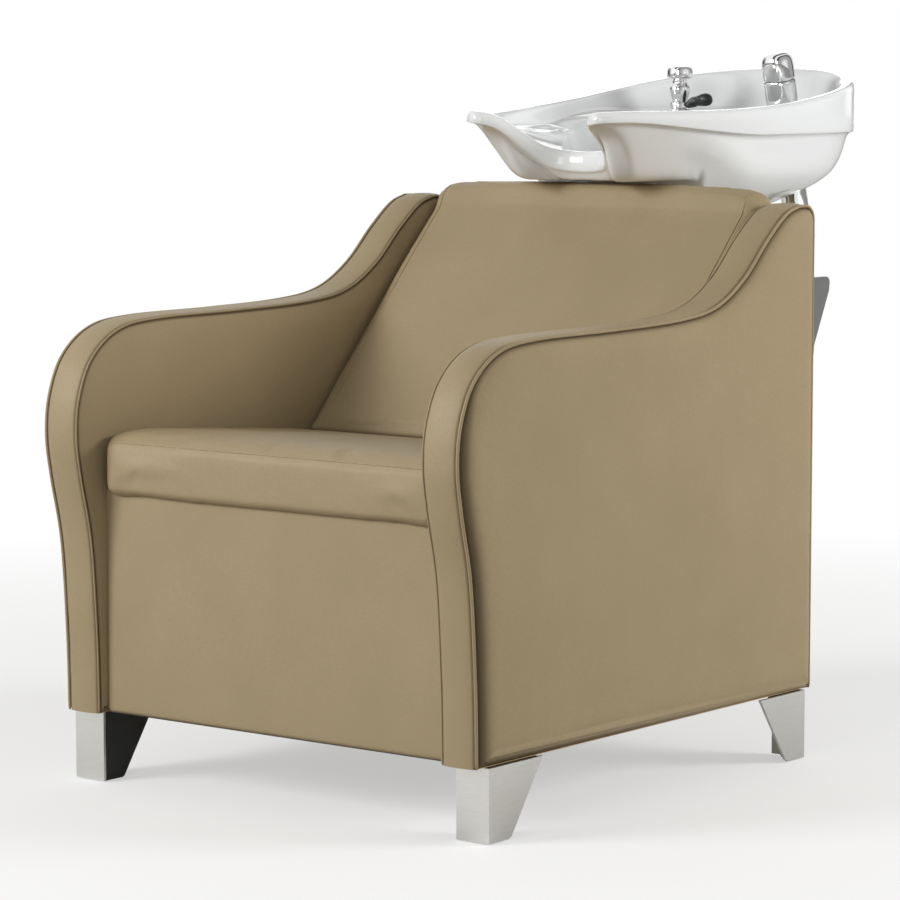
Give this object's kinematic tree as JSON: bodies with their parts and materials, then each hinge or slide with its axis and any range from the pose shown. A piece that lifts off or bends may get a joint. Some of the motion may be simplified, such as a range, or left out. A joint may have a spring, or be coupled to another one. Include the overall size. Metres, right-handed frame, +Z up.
{
  "type": "shampoo backwash unit",
  "caption": "Upholstered salon armchair with a tilting ceramic shampoo basin, deck mixer and pull-out spray behind its back.",
  "frame": {"origin": "on the floor, in the middle of the unit's length and width", "axes": "+Z up; the sitter faces -Y; +X is the sitter's left; the basin stands out behind at +Y"},
  "size_m": [0.7, 1.232, 0.9556],
  "materials": {
    "upholstery": "khaki leatherette, fine grain, satin",
    "plywood": "raw birch plywood",
    "satin_steel": "satin metal leg cladding",
    "black_plastic": "black moulded plastic",
    "grey_steel": "grey powder-coated steel",
    "bright_steel": "plain machined steel",
    "chrome": "polished chrome",
    "ceramic": "glossy white glaze",
    "rubber": "black rubber",
    "white_plastic": "white moulded plastic"
  },
  "bodies": {
    "chair": {"arm_band_left": "upholstery", "arm_band_right": "upholstery", "arm_core_left": "plywood", "arm_core_right": "plywood", "arm_inner_panel_left": "upholstery", "arm_inner_panel_right": "upholstery", "arm_outer_panel_left": "upholstery", "arm_outer_panel_right": "upholstery", "back_board": "plywood", "back_cushion": "upholstery", "back_rail": "plywood", "base_board": "plywood", "cross_rail": "grey_steel", "front_panel": "upholstery", "hinge_pin_left": "bright_steel", "hinge_pin_right": "bright_steel", "leg_block_front_left": "black_plastic", "leg_block_front_right": "black_plastic", "leg_block_rear_left": "black_plastic", "leg_block_rear_right": "black_plastic", "leg_cladding_front_left": "satin_steel", "leg_cladding_front_right": "satin_steel", "leg_cladding_rear_left": "satin_steel", "leg_cladding_rear_right": "satin_steel", "rear_bracket_left": "grey_steel", "rear_bracket_right": "grey_steel", "rear_panel": "upholstery", "seat_cushion": "upholstery", "seat_deck": "plywood", "seat_front_rail": "plywood", "tilt_arm_left": "grey_steel", "tilt_arm_right": "grey_steel"},
    "tilt_lock": {"tilt_lock_lever": "black_plastic"},
    "basin_assembly": {"tilt_frame": "grey_steel", "basin": "ceramic", "basin_gasket": "rubber", "waste_flange": "chrome", "waste_nut": "bright_steel", "waste_tail": "white_plastic", "mixer_body": "chrome", "mixer_nut": "bright_steel", "hot_supply_tail": "bright_steel", "cold_supply_tail": "bright_steel", "handset_sleeve": "chrome", "sleeve_nut": "bright_steel"},
    "hair_strainer": {"strainer": "bright_steel"},
    "flow_knob": {"mixer_knob": "chrome"},
    "temperature_lever": {"mixer_lever": "black_plastic"},
    "handset": {"handset_body": "chrome", "handset_ring": "black_plastic", "handset_head": "chrome"}
  },
  "joints": [
    {"name": "basin_tilt", "type": "hinge", "parent": "chair", "child": "basin_assembly", "pos_m": [0, 0.3, 0.668], "axis": [-1, 0, 0], "range_deg": [0, 15]},
    {"name": "tilt_lock_turn", "type": "hinge", "parent": "chair", "child": "tilt_lock", "pos_m": [0.106, 0.3, 0.668], "axis": [1, 0, 0], "range_deg": [-40, 25]},
    {"name": "strainer_lift", "type": "slide", "parent": "basin_assembly", "child": "hair_strainer", "axis": [0, 0, 1], "range_m": [0, 0.12]},
    {"name": "flow_turn", "type": "hinge", "parent": "basin_assembly", "child": "flow_knob", "pos_m": [-0.09, 0.47, 0.9185], "axis": [0, 0, 1], "range_deg": [0, 90]},
    {"name": "temperature_turn", "type": "hinge", "parent": "basin_assembly", "child": "temperature_lever", "pos_m": [-0.09, 0.47, 0.8722], "axis": [0, 0, 1], "range_deg": [-45, 45]},
    {"name": "handset_pull", "type": "slide", "parent": "basin_assembly", "child": "handset", "axis": [0, -0.2419, 0.9703], "range_m": [0, 0.25]}
  ]
}
